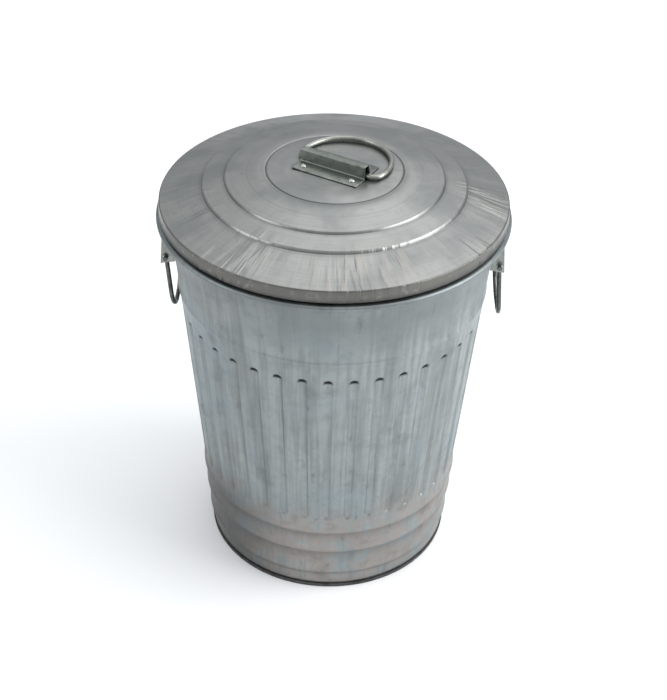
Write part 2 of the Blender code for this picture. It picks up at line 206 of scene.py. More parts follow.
def turned(profile, steps, closed=False, angle=FULL_TURN, start=0.0):
    """Spin a profile of (radius, height) points round the Z axis."""
    bm = bmesh.new()
    place = Matrix.Rotation(start, 4, "Z")
    verts = [bm.verts.new(place @ Vector((r, 0.0, z))) for r, z in profile]
    pairs = list(zip(verts, verts[1:])) + ([(verts[-1], verts[0])] if closed else [])
    edges = [bm.edges.new(pair) for pair in pairs]
    bmesh.ops.spin(bm, geom=verts + edges, axis=(0, 0, 1), cent=(0, 0, 0), steps=steps,
                   angle=angle, use_merge=angle == FULL_TURN)
    bmesh.ops.remove_doubles(bm, verts=bm.verts, dist=MERGE)
    bmesh.ops.recalc_face_normals(bm, faces=bm.faces)
    return bm


def face_out(bm, up=False):
    """Point an open turned sheet's faces away from the axis, or upwards."""
    total = 0.0
    for face in bm.faces:
        centre = face.calc_center_median()
        out = Vector((0, 0, 1)) if up else Vector((centre.x, centre.y, 0)).normalized()
        total += face.normal.dot(out) * face.calc_area()
    if total < 0:
        bmesh.ops.reverse_faces(bm, faces=bm.faces)


def put(bm, name, coating, body, replaced=(), sharp=40.0):
    """Make a finished piece of a bmesh, and let it ride on its body."""
    mesh = bpy.data.meshes.new(name)
    bm.to_mesh(mesh)
    bm.free()
    mesh.shade_smooth()
    mesh.set_sharp_from_angle(angle=math.radians(sharp))
    mesh.materials.append(finish(coating))
    piece = bpy.data.objects.new(name, mesh)
    bpy.context.scene.collection.objects.link(piece)
    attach(piece, body)
    if replaced:
        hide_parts(*replaced)
    return piece


def thicken(piece, thickness):
    """Give an open sheet its thickness on the inner side."""
    modifier = piece.modifiers.new("Sheet", "SOLIDIFY")
    modifier.thickness = thickness
    modifier.offset = -1.0
    modifier.use_even_offset = True


def round_edges(piece, width, angle=40.0):
    """Break a piece's sharp edges with a small round."""
    modifier = piece.modifiers.new("Edges", "BEVEL")
    modifier.width = width
    modifier.segments = 2
    modifier.limit_method = "ANGLE"
    modifier.angle_limit = math.radians(angle)


def bend_wire(name, points, tube, coating, body, replaced, cyclic=False):
    """Bend a round wire along points, and make it a mesh."""
    curve = bpy.data.curves.new(name, "CURVE")
    curve.dimensions = "3D"
    curve.bevel_depth = tube
    curve.bevel_resolution = 6
    curve.use_fill_caps = True
    spline = curve.splines.new("POLY")
    spline.points.add(len(points) - 1)
    for target, point in zip(spline.points, points):
        target.co = (*point, 1.0)
    spline.use_cyclic_u = cyclic
    bent = bpy.data.objects.new(name + "_line", curve)
    bpy.context.scene.collection.objects.link(bent)
    bpy.context.view_layer.update()
    made = bpy.data.meshes.new_from_object(bent.evaluated_get(
        bpy.context.evaluated_depsgraph_get()))
    bm = bmesh.new()
    bm.from_mesh(made)
    bpy.data.objects.remove(bent, do_unlink=True)
    bpy.data.meshes.remove(made)
    bmesh.ops.remove_doubles(bm, verts=bm.verts, dist=MERGE)
    piece = put(bm, name, coating, body, replaced)
    if not cyclic:
        round_edges(piece, tube * 0.25, 60.0)
    return piece


def softened_copy(node, name, width, coating, body):
    """Stand in for a CAD node with a copy whose edges are broken."""
    bm = bmesh.new()
    bm.from_mesh(CAD_NODES[node].data)
    bmesh.ops.remove_doubles(bm, verts=bm.verts, dist=MERGE)
    bmesh.ops.dissolve_limit(bm, angle_limit=math.radians(1.0), verts=bm.verts, edges=bm.edges)
    edges = [edge for edge in bm.edges
             if len(edge.link_faces) == 2 and edge.calc_face_angle() > math.radians(40)]
    bmesh.ops.bevel(bm, geom=edges, offset=width, offset_type="OFFSET", affect="EDGES",
                    segments=2, profile=0.5, material=-1, clamp_overlap=True)
    bmesh.ops.triangulate(bm, faces=bm.faces)
    return put(bm, name, coating, body, [node])


# --- helpers for materials ----------------------------------------------------------------
def add_node(tree, kind, settings=None, links=None):
    """Add a shader node, set its options and inputs, and connect it."""
    made = tree.nodes.new(kind)
    for key, value in (settings or {}).items():
        if isinstance(key, str) and hasattr(made, key):
            setattr(made, key, value)
        else:
            made.inputs[key].default_value = value
    for key, source in (links or {}).items():
        tree.links.new(source, made.inputs[key])
    return made


def start_material(name, roughness):
    """A metal material, its tree, its shader and the piece's own coordinates.

    Its plain roughness is for viewers that don't read the wear pattern.
    """
    material = bpy.data.materials.new(name)
    material.use_nodes = True
    tree = material.node_tree
    shader = tree.nodes["Principled BSDF"]
    shader.inputs["Metallic"].default_value = 1.0
    shader.inputs["Roughness"].default_value = roughness
    place = add_node(tree, "ShaderNodeTexCoord").outputs["Object"]
    return material, tree, shader, place


def round_axis(tree, place):
    """Direction from the can's axis, distance from it and height, as sockets."""
    split = add_node(tree, "ShaderNodeSeparateXYZ", links={0: place})
    flat = add_node(tree, "ShaderNodeCombineXYZ",
                    links={"X": split.outputs["X"], "Y": split.outputs["Y"]})
    away = add_node(tree, "ShaderNodeVectorMath", {"operation": "NORMALIZE"},
                    {0: flat.outputs[0]})
    far = add_node(tree, "ShaderNodeVectorMath", {"operation": "LENGTH"}, {0: flat.outputs[0]})
    return away.outputs["Vector"], far.outputs["Value"], split.outputs["Z"]


def streaks(tree, away, along, radius, width, run, detail=3.0, rough=0.55, twist=0.0, shift=0.0):
    """Noise drawn out into streaks of a real width and run, in metres, at a real radius."""
    scaled = add_node(tree, "ShaderNodeVectorMath", {"operation": "SCALE", "Scale": radius / width},
                      {0: away})
    drawn = add_node(tree, "ShaderNodeMath", {"operation": "MULTIPLY_ADD", 1: 1 / run, 2: shift},
                     {0: along})
    height = add_node(tree, "ShaderNodeCombineXYZ", links={"Z": drawn.outputs[0]})
    where = add_node(tree, "ShaderNodeVectorMath", {"operation": "ADD"},
                     {0: scaled.outputs[0], 1: height.outputs[0]})
    pattern = add_node(tree, "ShaderNodeTexNoise",
                       {"Scale": 1.0, "Detail": detail, "Roughness": rough, "Distortion": twist},
                       {"Vector": where.outputs[0]})
    return pattern.outputs["Fac"]


def clouds(tree, place, size, detail=3.0, rough=0.5, shift=0.0):
    """Soft noise of a real size, in metres."""
    moved = add_node(tree, "ShaderNodeVectorMath", {"operation": "ADD", 1: (shift, shift, shift)},
                     {0: place})
    pattern = add_node(tree, "ShaderNodeTexNoise",
                       {"Scale": 1 / size, "Detail": detail, "Roughness": rough},
                       {"Vector": moved.outputs[0]})
    return pattern.outputs["Fac"]


def stain(tree, under, over, pattern, low, high, amount=1.0, within=None):
    """Lay a colour over another where a pattern passes from low to high, inside a zone."""
    share = add_node(tree, "ShaderNodeMapRange",
                     {"interpolation_type": "SMOOTHSTEP", "From Min": low, "From Max": high,
                      "To Max": amount}, {"Value": pattern}).outputs["Result"]
    if within is not None:
        share = add_node(tree, "ShaderNodeMath", {"operation": "MULTIPLY"},
                         {0: share, 1: within}).outputs[0]
    settings = {"data_type": "RGBA", 7: over}
    links = {0: share}
    (links if isinstance(under, bpy.types.NodeSocket) else settings)[6] = under
    return add_node(tree, "ShaderNodeMix", settings, links).outputs[2]


def coat(tree, shader, under, stains, wear, layers):
    """Lay stains over a colour, let the gloss follow wear, and raise height patterns.

    A stain is what stain() asks for after the colour under it. Wear is a pattern, where it
    starts and ends, and the roughness at both ends. A layer is a pattern and its real height
    in metres.
    """
    for over, pattern, *reach in stains:
        under = stain(tree, under, over, pattern, *reach)
    tree.links.new(under, shader.inputs["Base Color"])
    pattern, low, high, smooth, dull = wear
    worn = add_node(tree, "ShaderNodeMapRange", {"From Min": low, "From Max": high,
                                                 "To Min": smooth, "To Max": dull},
                    {"Value": pattern})
    tree.links.new(worn.outputs["Result"], shader.inputs["Roughness"])
    normal = None
    for pattern, height in layers:
        links = {"Height": pattern}
        if normal is not None:
            links["Normal"] = normal
        normal = add_node(tree, "ShaderNodeBump", {"Strength": 1.0, "Distance": height},
                          links).outputs["Normal"]
    tree.links.new(normal, shader.inputs["Normal"])


# --- materials ----------------------------------------------------------------------------
# pattern sizes are in metres: the width of a streak, its run, or the size of a cloud
WALL_MEAN_R = 0.19
LID_MEAN_R = 0.20
SPANGLE = 0.009               # zinc crystals on the wall
WIPE_RING = 0.005             # spacing of the wiped rings on the lid


def wall_zinc(look, name):
    """Hot-dip galvanised sheet of the wall.

    Weathered zinc is a dull grey metal. The eye sees cloudy bluish patches a hand wide, faint
    upright streaks from drawing, a fine patchwork of crystals and brownish stains near the floor.
    """
    material, tree, shader, place = start_material(name, 0.42)
    away, _, height = round_axis(tree, place)
    fine = streaks(tree, away, height, WALL_MEAN_R, 0.006, 0.130, 3.0)
    wide = streaks(tree, away, height, WALL_MEAN_R, 0.026, 0.260, 2.0, shift=7.0)
    smudge = streaks(tree, away, height, WALL_MEAN_R, 0.012, 0.030, 4.0, 0.6, 0.4, 31.0)
    cloud = clouds(tree, place, 0.105, 3.0)
    mottle = clouds(tree, place, 0.030, 4.0, 0.62, 3.7)
    crystals = add_node(tree, "ShaderNodeTexVoronoi", {"Scale": 1 / SPANGLE, "Randomness": 1.0},
                        {"Vector": place})
    grain = add_node(tree, "ShaderNodeSeparateColor", links={0: crystals.outputs["Color"]})
    # the first mask is the wall near the floor, the second is painted shade under the shoulder and
    # rim
    low, shade_under_rim = [
        add_node(tree, "ShaderNodeMapRange", {"From Min": start, "From Max": full},
                 {"Value": height}).outputs["Result"]
        for start, full in ((0.175, 0.115), (0.415, 0.475))]
    # painted shade: the side towards -X, a little to the front, is darker near the floor
    shaded_side = add_node(tree, "ShaderNodeVectorMath",
                           {"operation": "DOT_PRODUCT", 1: (-0.97, -0.24, 0.0)},
                           {0: away}).outputs["Value"]
    # painted shade at the flute tops, under the hoops and in the gap under the lid, and a thin film
    # of dirt on the neck, from the mesh's own attribute
    shade_and_dirt = add_node(tree, "ShaderNodeAttribute", {"attribute_name": "grime_and_shade"}).outputs["Fac"]
    coat(tree, shader, look.zinc, [
        (look.zinc_dark_and_shade, fine, 0.40, 0.66, 0.50),
        (look.zinc_dark_and_shade, wide, 0.48, 0.72, 0.50),
        (look.zinc_blue, cloud, 0.44, 0.62, 0.65),
        (look.zinc_warm, mottle, 0.34, 0.58, 0.90, low),
        (look.zinc_dark_and_shade, mottle, 0.52, 0.76, 0.45),
        # painted shade low on one side
        (look.grime_and_shade, shaded_side, 0.40, 0.95, 0.55, low),
        # painted shade under the shoulder, broken up by clouds
        (look.zinc_dark_and_shade, cloud, 0.20, 0.50, 0.70, shade_under_rim),
        (look.grime_and_shade, smudge, 0.60, 0.80, 0.40),
        (look.zinc_dark_and_shade, grain.outputs[0], 0.0, 1.0, 0.16),
        # painted shade, and the neck's film of dirt
        (look.grime_and_shade, shade_and_dirt, 0.0, 1.0),
    ], (mottle, 0.30, 0.75, 0.38, 0.54), [
        (cloud, 0.0026), (fine, 0.00012), (grain.outputs[1], 0.00003)])
    return material


def lid_zinc(look, name):
    """Galvanised sheet drawn into a lid.

    Wiping has left faint rings in the flat middle. The drawn outer part has radial wrinkles,
    strongest at the front, and the skirt is brownish where hands and the can's rim touch it.
    """
    material, tree, shader, place = start_material(name, 0.34)
    away, far, _ = round_axis(tree, place)
    fine = streaks(tree, away, far, LID_MEAN_R, 0.0050, 0.060, 3.0)
    fan = streaks(tree, away, far, LID_MEAN_R, 0.010, 0.075, 2.0, 0.5, 0.6, 5.0)
    patchy = streaks(tree, away, far, LID_MEAN_R, 0.075, 0.300, 2.0, shift=2.0)
    cloud = clouds(tree, place, 0.070, 3.0, shift=1.3)
    scuff = clouds(tree, place, 0.012, 5.0, 0.65, 9.1)
    ring = add_node(tree, "ShaderNodeCombineXYZ", links={"X": far})
    wipe = add_node(tree, "ShaderNodeTexNoise", {"Scale": 1 / WIPE_RING, "Detail": 3.0},
                    {"Vector": ring.outputs[0]}).outputs["Fac"]
    facing = add_node(tree, "ShaderNodeSeparateXYZ", links={0: away}).outputs["Y"]
    # the skirt, the drawn outer part, the front, and some patches
    skirt, outer, front, some = [
        add_node(tree, "ShaderNodeMapRange", {"From Min": start, "From Max": full, "To Min": least},
                 {"Value": source}).outputs["Result"]
        for source, start, full, least in ((far, 0.2232, 0.2246, 0.0), (far, 0.150, 0.185, 0.0),
                                           (facing, 0.45, -0.35, 0.25),
                                           (patchy, 0.44, 0.58, 0.12))]
    zone = outer
    for share in (front, some):
        zone = add_node(tree, "ShaderNodeMath", {"operation": "MULTIPLY"},
                        {0: zone, 1: share}).outputs[0]
    folds = add_node(tree, "ShaderNodeMath", {"operation": "MULTIPLY"},
                     {0: fan, 1: zone}).outputs[0]
    # painted shade in the grooves, from the mesh's own attribute
    shade_and_dirt = add_node(tree, "ShaderNodeAttribute", {"attribute_name": "grime_and_shade"}).outputs["Fac"]
    coat(tree, shader, look.lid_zinc, [
        (look.lid_dark, cloud, 0.42, 0.66, 0.60),
        (look.lid_dark, wipe, 0.45, 0.70, 0.30),
        (look.lid_dark, fine, 0.45, 0.70, 0.25, outer),
        (look.lid_warm, fan, 0.46, 0.66, 0.60, zone),
        (look.lid_dark, scuff, 0.56, 0.72, 0.40),
        (look.skirt, scuff, 0.10, 0.46, 0.92, skirt),
        (look.grime_and_shade, shade_and_dirt, 0.0, 1.0),
    ], (cloud, 0.30, 0.70, 0.30, 0.44), [(cloud, 0.0016), (folds, 0.0032), (fine, 0.00005)])
    return material


def plated_wire(look, name, tint, worn_share):
    """Drawn and zinc-plated wire: smooth and bright, with grey wear and a little dirt."""
    material, tree, shader, place = start_material(name, 0.26)
    worn = clouds(tree, place, 0.014, 3.0, 0.6)
    speck = clouds(tree, place, 0.0035, 2.0, 0.6, 2.2)
    coat(tree, shader, getattr(look, tint), [
        (look.grime_and_shade, worn, 0.45, 0.75, worn_share),
        (look.rivet, speck, 0.60, 0.78, 0.22),
    ], (worn, 0.30, 0.70, 0.22, 0.38), [(speck, 0.00003)])
    return material


def plated_strip(look, name, tint, roughness):
    """Zinc-plated pressed strip: a plain grey metal with small scuffs and dull patches."""
    material, tree, shader, place = start_material(name, roughness)
    scuff = clouds(tree, place, 0.007, 5.0, 0.65)
    patch = clouds(tree, place, 0.025, 2.0, 0.5, 4.4)
    coat(tree, shader, getattr(look, tint), [
        (look.grime_and_shade, scuff, 0.50, 0.72, 0.40),
        (look.rivet, patch, 0.54, 0.72, 0.30),
    ], (scuff, 0.30, 0.70, roughness - 0.08, roughness + 0.10), [
        (scuff, 0.00012), (patch, 0.0003)])
    return material


def foot_steel(look, name):
    """Rolled steel hoop at the foot: dark, and scraped where it meets the floor."""
    material, tree, shader, place = start_material(name, 0.55)
    scrape = clouds(tree, place, 0.009, 5.0, 0.7)
    coat(tree, shader, look.foot, [
        (look.grime_and_shade, scrape, 0.45, 0.70, 0.6),
        (look.zinc_dark_and_shade, scrape, 0.50, 0.30, 0.5),
    ], (scrape, 0.30, 0.70, 0.62, 0.42), [(scrape, 0.0002)])
    return material


FINISHES = {
    "hot_dip_zinc_wall": (wall_zinc,),
    "hot_dip_zinc_lid": (lid_zinc,),
    "bright_wire": (plated_wire, "wire", 0.35),          # bright, with light wear
    "handled_wire": (plated_wire, "bail", 0.60),         # darker, and worn by hands
    "plated_ear_strip": (plated_strip, "ear", 0.38),     # plain and a little dull
    "plated_clip_strip": (plated_strip, "clip", 0.34),   # greener, and wiped smoother
    "bright_rivet": (plated_strip, "rivet", 0.30),       # the brightest metal on the can
    "soiled_foot_steel": (foot_steel,),
}


def finish(name):
    """A finish by name, made the first time that a piece asks for it."""
    make, *details = FINISHES[name]
    found = bpy.data.materials.get(name)
    return found or make(bpy.context.scene.can_colours, name, *details)


# --- the can ------------------------------------------------------------------------------
HOOPS_LOW_Z = (0.029, 0.072, 0.109)     # sharp lower edge of each hoop near the foot
HOOP_RISE = 0.0024
HOOP_CREST = 0.0035
HOOP_HEIGHT = 0.0135
UPPER_HOOP_Z = 0.410
UPPER_HOOP_RISE = 0.0014
UPPER_HOOP_HEIGHT = 0.010
LOW_ROWS = (0.012, 0.021)               # rows in the wall's plain parts
HIGH_ROWS = (0.432, 0.446)
HOOP_ROWS = (-0.0004, 0.0, 0.0012, 0.0024, HOOP_CREST, 0.0065, 0.010, HOOP_HEIGHT)
FIRST_FLUTE = math.radians(-90.0)
COLUMNS_PER_FLUTE = 12
FLUTE_CROWDING = 0.28         # how far the columns are drawn towards the flutes
FLUTE_FLANK = 0.58            # share of a flute's half width that slopes
FLUTE_MARGIN = 0.0008         # the rows at a flute's ends start just outside it
FLUTE_END_ROWS = 0.0088       # and are close over this height
DENT_SPREAD = 2.3             # dents round the wall, and how much closer they are in height
DENT_RISE = 9
DENT_FADE = 12                # dents fade in over a twelfth of a metre from the floor
SHOULDER_ROUND = 0.003
NECK_STEPS = (0.005, 0.008, 0.011)      # heights above the bead's middle
NECK_MIDDLE_Z = 0.530
NECK_EDGE = 0.0016            # how far the safe edge turns in
NECK_EDGE_ROUND = 0.0005
# painted shade, and a thin film of dirt on the neck, from 0 to 1, and where they lie
# painted shade at the upper end of each flute, where it turns down
FLUTE_END_SHADE = 0.90
FLUTE_SHADE_START = 0.40       # in half widths of a flute
FLUTE_SHADE_RISE = 2.0
FLUTE_SHADE_EDGE = 0.22
# painted shade under the lower edge of each hoop
HOOP_SHADE = 0.42
HOOP_SHADE_REACH = 0.0012
NECK_START = 0.0005           # the neck starts this far above the bead
# painted shade in the gap between the lid's skirt and the bead
NECK_GAP_SHADE = 0.75
NECK_SHADE_REACH = 0.005
# a thin film of dirt on the rest of the neck
NECK_FILM = 0.12
SEAM_PROUD = 0.0012
SEAM_SHEET = 0.0011
SEAM_START = math.radians(90.4)
SEAM_ANGLE = math.radians(2.1)
SEAM_FOOT_Z = 0.008
SEAM_TOP_GAP = 0.003          # the seam ends this far under the shoulder's top, flattened
SEAM_TOP_PROUD = 0.4 * SEAM_PROUD
# base pan and foot hoop, as (radius, height)
PAN_ROUND = 0.002
PAN_PROFILE = ((0.0, PLATE_HIGH.z), (0.108, PLATE_HIGH.z), (0.114, 0.0130), (0.1630, 0.0130),
               (0.1676, 0.0105), (PLATE_HIGH.y, PLATE_LOW.z))
FOOT_PROFILE = ((0.1655, 0.0010), (0.1659, 0.0002), (0.1668, 0.0), (0.1698, 0.0),
                (0.1707, 0.0003), (0.1711, 0.0012), (FOOT_HIGH.y, FOOT_HIGH.z - 0.0006),
                (FOOT_HIGH.y - 0.0003, FOOT_HIGH.z), (0.1706, FOOT_HIGH.z), (0.1702, 0.0018),
                (0.1697, 0.0012), (0.1669, 0.0012), (0.1665, 0.0018), (0.1665, 0.0058),
                (0.1655, 0.0058))


def swell(z, low, crest, high, rise):
    """Height of a rounded hoop with an off-centre crest."""
    if z <= low or z >= high:
        return 0.0
    share = (z - low) / (crest - low) if z < crest else (high - z) / (high - crest)
    return rise * math.sin(share * math.pi / 2) ** 1.3


def wall_radius(size, z):
    """Outer radius of the wall below the shoulder, hoops included."""
    radius = size.base_radius + size.taper * z
    for low in HOOPS_LOW_Z:
        radius += swell(z, low, low + HOOP_CREST, low + HOOP_HEIGHT, HOOP_RISE)
    radius += swell(z, UPPER_HOOP_Z, UPPER_HOOP_Z + UPPER_HOOP_HEIGHT / 2,
                    UPPER_HOOP_Z + UPPER_HOOP_HEIGHT, UPPER_HOOP_RISE)
    return radius


def wall_heights(size):
    """Heights of the wall's rows, closer together where the sheet is worked."""
    rows = [WALL_LOW.z, *LOW_ROWS]
    for low in HOOPS_LOW_Z:
        rows += [low + row for row in HOOP_ROWS]
    rows += spaced(size.flute_low_z - FLUTE_MARGIN, size.flute_low_z + FLUTE_END_ROWS, 8)
    rows += spaced(size.flute_low_z + FLUTE_END_ROWS, size.flute_top_z - 0.0098, 11)[1:]
    rows += spaced(size.flute_top_z - 0.0086, size.flute_top_z + 0.0004, 9)
    rows += spaced(UPPER_HOOP_Z, UPPER_HOOP_Z + UPPER_HOOP_HEIGHT, 6)
    return rows + [*HIGH_ROWS]


def wall_profile(size):
    """Outer side of the wall, from the foot to the safe edge of the neck."""
    points = [(wall_radius(size, z), z) for z in wall_heights(size)]
    bead_r = WALL_HIGH.y - size.bead_tube
    points += [(wall_radius(size, size.shoulder_z), size.shoulder_z)]
    points += fillet([points[-1], (size.shoulder_top_r, size.shoulder_top_z),
                      arc((bead_r, size.bead_z), size.bead_tube, -100.0, -99.0, 1)[0]],
                     SHOULDER_ROUND)[1:-1]
    points += arc((bead_r, size.bead_z), size.bead_tube, -100.0, 100.0, 10)
    points += [(size.neck_r, size.bead_z + step) for step in NECK_STEPS]
    points += [(size.neck_r, NECK_MIDDLE_Z),
               (size.neck_r, WALL_HIGH.z - NECK_EDGE),
               (size.neck_r - NECK_EDGE_ROUND, WALL_HIGH.z - NECK_EDGE_ROUND),
               (size.neck_r - NECK_EDGE, WALL_HIGH.z)]
    return points


def press_flutes(bm, size):
    """Press the flutes into the wall, dent it softly, and mark where painted shade and dirt lie."""
    grime_and_shade = bm.verts.layers.float.new("grime_and_shade")
    pitch = FULL_TURN / size.flutes
    for vert in bm.verts:
        angle = math.atan2(vert.co.y, vert.co.x)
        turns = (angle - FIRST_FLUTE) / pitch
        offset = turns - round(turns)
        # columns are drawn towards the flutes, where the sheet bends most
        share = offset * 2
        moved = share * (1 - FLUTE_CROWDING + FLUTE_CROWDING * share * share) / 2
        angle += (moved - offset) * pitch
        radius = math.hypot(vert.co.x, vert.co.y)
        side = moved * pitch * radius
        high = vert.co.z - (size.flute_top_z - size.flute_half)
        low = (size.flute_low_z + size.flute_half) - vert.co.z
        end = max(high, low, 0.0)
        reach = math.hypot(side, end) / size.flute_half
        if reach < 1.0:
            share = min(1.0, (1.0 - reach) / FLUTE_FLANK)
            radius -= size.flute_depth * share * share * (3 - 2 * share)
        # painted shade at the upper end of each flute, under each hoop and in the gap under the
        # lid; a thin film of dirt on the rest of the neck
        deep = min(1.0, max(0.0, high / size.flute_half + FLUTE_SHADE_START) * FLUTE_SHADE_RISE)
        aside = math.hypot(side, max(high, 0.0)) / size.flute_half
        shade_and_dirt = FLUTE_END_SHADE * deep * min(1.0, max(0.0, 1.0 - aside) / FLUTE_SHADE_EDGE)
        above = vert.co.z - size.bead_z - size.bead_tube
        if above > NECK_START:
            shade_and_dirt = NECK_GAP_SHADE if above < NECK_SHADE_REACH else NECK_FILM
        for foot in HOOPS_LOW_Z:
            shade_and_dirt += HOOP_SHADE * math.exp(-((vert.co.z - foot) / HOOP_SHADE_REACH) ** 2)
        vert[grime_and_shade] = shade_and_dirt
        if vert.co.z < size.shoulder_z:
            soft = Vector((math.cos(angle), math.sin(angle), vert.co.z * DENT_RISE)) * DENT_SPREAD
            fade = min(1.0, vert.co.z * DENT_FADE)
            radius -= size.dent * (0.5 + 0.5 * noise.noise(soft)) * fade
        vert.co.x = radius * math.cos(angle)
        vert.co.y = radius * math.sin(angle)


class WASTECAN_OT_wall(bpy.types.Operator):
    """Spin the tapered wall with its hoops, flutes, wired bead and neck"""
    bl_idname = "waste_can.wall"
    bl_label = "Fluted Wall"

    def execute(self, context):
        size = context.scene.can_sizes
        columns = size.flutes * COLUMNS_PER_FLUTE
        bm = turned(wall_profile(size), columns, start=FIRST_FLUTE)
        face_out(bm)
        press_flutes(bm, size)
        wall = put(bm, "fluted_wall", "hot_dip_zinc_wall", "can",
                   ["body_shell"], 32)
        thicken(wall, size.sheet)
        coats = CAD_NODES["rim_wire"].data.materials
        coats.clear()
        coats.append(finish("bright_wire"))
        return {"FINISHED"}


class WASTECAN_OT_seam(bpy.types.Operator):
    """Fold the upright lock seam that closes the wall at the back"""
    bl_idname = "waste_can.seam"
    bl_label = "Lock Seam"

    def execute(self, context):
        size = context.scene.can_sizes
        heights = [z for z in wall_heights(size) if SEAM_FOOT_Z < z < size.shoulder_z]
        profile = [(wall_radius(size, z) + SEAM_PROUD, z) for z in heights]
        profile += [(size.base_radius + size.taper * size.shoulder_z + SEAM_PROUD,
                     size.shoulder_z),
                    (size.shoulder_top_r + SEAM_TOP_PROUD, size.shoulder_top_z - SEAM_TOP_GAP)]
        bm = turned(profile, 3, angle=SEAM_ANGLE, start=SEAM_START)
        face_out(bm)
        seam = put(bm, "lock_seam", "hot_dip_zinc_wall", "can")
        thicken(seam, SEAM_SHEET)
        round_edges(seam, 0.0004)
        return {"FINISHED"}


class WASTECAN_OT_foot(bpy.types.Operator):
    """Spin the base pan and the dark rolled hoop that closes the foot"""
    bl_idname = "waste_can.foot"
    bl_label = "Base and Foot"

    def execute(self, context):
        size = context.scene.can_sizes
        columns = size.flutes * 6
        bm = turned(fillet(PAN_PROFILE, PAN_ROUND), columns)
        face_out(bm, up=True)
        plate = put(bm, "base_pan", "hot_dip_zinc_wall", "can", ["base_plate"])
        thicken(plate, size.sheet)
        bm = turned(FOOT_PROFILE, columns, closed=True)
        put(bm, "foot_hoop", "soiled_foot_steel", "can", ["base_ring"])
        return {"FINISHED"}


# --- ears, rivets and side handles --------------------------------------------------------
EARS = (("right_front", 1, -1), ("right_rear", 1, 1), ("left_front", -1, -1), ("left_rear", -1, 1))
EAR_LOW_Z = 0.4595
EAR_TOP_Z = 0.5055
EAR_LUG_Y = 0.049
EAR_HALF_WIDTH = 0.009
EAR_SHEET = 0.0012
EAR_RIVET_PITCH = 0.018
EAR_RIVET_SHIFT = 0.001
RIVET_GAP = 0.0003
RIVET_HEAD_R = 0.0044
RIVET_HEAD_H = 0.0024
RIVET_SHANK_R = 0.0020
RIVET_TAIL = ((0.0036, 0.0), (0.0034, -0.0008), (0.0024, -0.0012), (0.0, -0.0014))
RIVET_STEPS = 24


def ear_rivet_places(size, side, end):
    """Seats of the two rivets of an ear on the slanting shoulder."""
    middle = (EAR_LOW_Z + EAR_TOP_Z) / 2
    low_r = size.base_radius + size.taper * size.shoulder_z
    rise = size.shoulder_top_z - size.shoulder_z
    radius = low_r + (size.shoulder_top_r - low_r) * (middle - size.shoulder_z) / rise
    angle = math.asin(EAR_LUG_Y / radius) - EAR_HALF_WIDTH / radius
    lean = math.atan2(size.shoulder_top_r - low_r, rise)
    radial = Vector((side * math.cos(angle), end * math.sin(angle), 0))
    inwards = Vector((side * math.sin(angle), -end * math.cos(angle), 0))
    outward = radial * math.cos(lean) - Vector((0, 0, math.sin(lean)))
    upward = radial * math.sin(lean) + Vector((0, 0, math.cos(lean)))
    seat = radial * radius + Vector((0, 0, middle)) + inwards * EAR_RIVET_SHIFT
    places = {}
    for level, shift in (("lower", -0.5), ("upper", 0.5)):
        point = seat + upward * (shift * EAR_RIVET_PITCH)
        turn = outward.to_track_quat("Z", "X").to_matrix().to_4x4()
        places[level] = Matrix.Translation(point) @ turn
    return places


def put_rivet(name, node, place, head_z, tail_z, body):
    """A rivet with a domed head and a flattened tail."""
    head = [(RIVET_HEAD_R * math.sin(a), head_z + RIVET_HEAD_H * math.cos(a))
            for a in spaced(0.0, math.pi / 2, 6)]
    tail = [(radius, tail_z + drop) for radius, drop in RIVET_TAIL]
    bm = turned(head + [(RIVET_SHANK_R, head_z), (RIVET_SHANK_R, tail_z)] + tail, RIVET_STEPS)
    bmesh.ops.transform(bm, matrix=place, verts=bm.verts)
    put(bm, name, "bright_rivet", body, [node])


class WASTECAN_OT_ears(bpy.types.Operator):
    """Fit the four folded ears and their rivets to the shoulder"""
    bl_idname = "waste_can.ears"
    bl_label = "Ears and Rivets"

    def execute(self, context):
        size = context.scene.can_sizes
        for name, side, end in EARS:
            softened_copy("ear_" + name, "folded_ear_" + name, 0.0003,
                          "plated_ear_strip", "can")
            for level, place in ear_rivet_places(size, side, end).items():
                put_rivet("ear_rivet_%s_%s" % (name, level), "rivet_ear_%s_%s" % (name, level),
                          place, 2 * RIVET_GAP + EAR_SHEET, -size.sheet - 2 * RIVET_GAP, "can")
        return {"FINISHED"}


BAIL_BEND = 0.005             # bend between a leg and its tip


def bail_points(size, side, lean):
    """Centre line of a bail from tip to tip."""
    half = [(-size.tip_y, 0.0)]
    half += arc((-size.leg_y - BAIL_BEND, BAIL_BEND), BAIL_BEND, -90.0, 0.0, 8)
    half += spaced_line(half[-1], (-size.leg_y, size.drop - size.corner), 6)[1:-1]
    half += arc((-size.leg_y + size.corner, size.drop - size.corner), size.corner, 180, 90, 18)
    path = half + [(-y, down) for y, down in reversed(half)]
    out = side * math.sin(lean)
    fall = math.cos(lean)
    return [(side * size.pivot_x + down * out, y, size.pivot_z - down * fall)
            for y, down in path]


class WASTECAN_OT_bails(bpy.types.Operator):
    """Bend the two wire bails that hang at the sides"""
    bl_idname = "waste_can.bails"
    bl_label = "Side Handles"

    def execute(self, context):
        size = context.scene.can_handles
        for name, side, lean in (("right", 1, size.lean_right), ("left", -1, size.lean_left)):
            bend_wire("bail_" + name, bail_points(size, side, lean), size.tube, "handled_wire",
                      name + "_handle", ["side_handle_" + name])
        return {"FINISHED"}


# --- the lid ------------------------------------------------------------------------------
LID_COLUMNS = 540
LID_STEP_ROUND = 0.0015
LID_EDGE_ROUND = 0.0018
# flat middle and the narrow groove round it, as (radius, depth)
LID_MIDDLE = ((0.0, 0.0), (0.030, 0.0), (0.060, 0.0), (0.0860, 0.0), (0.0870, 0.0003),
              (0.0876, 0.0010), (0.0882, 0.0011), (0.0890, 0.0006), (0.0900, 0.0003))
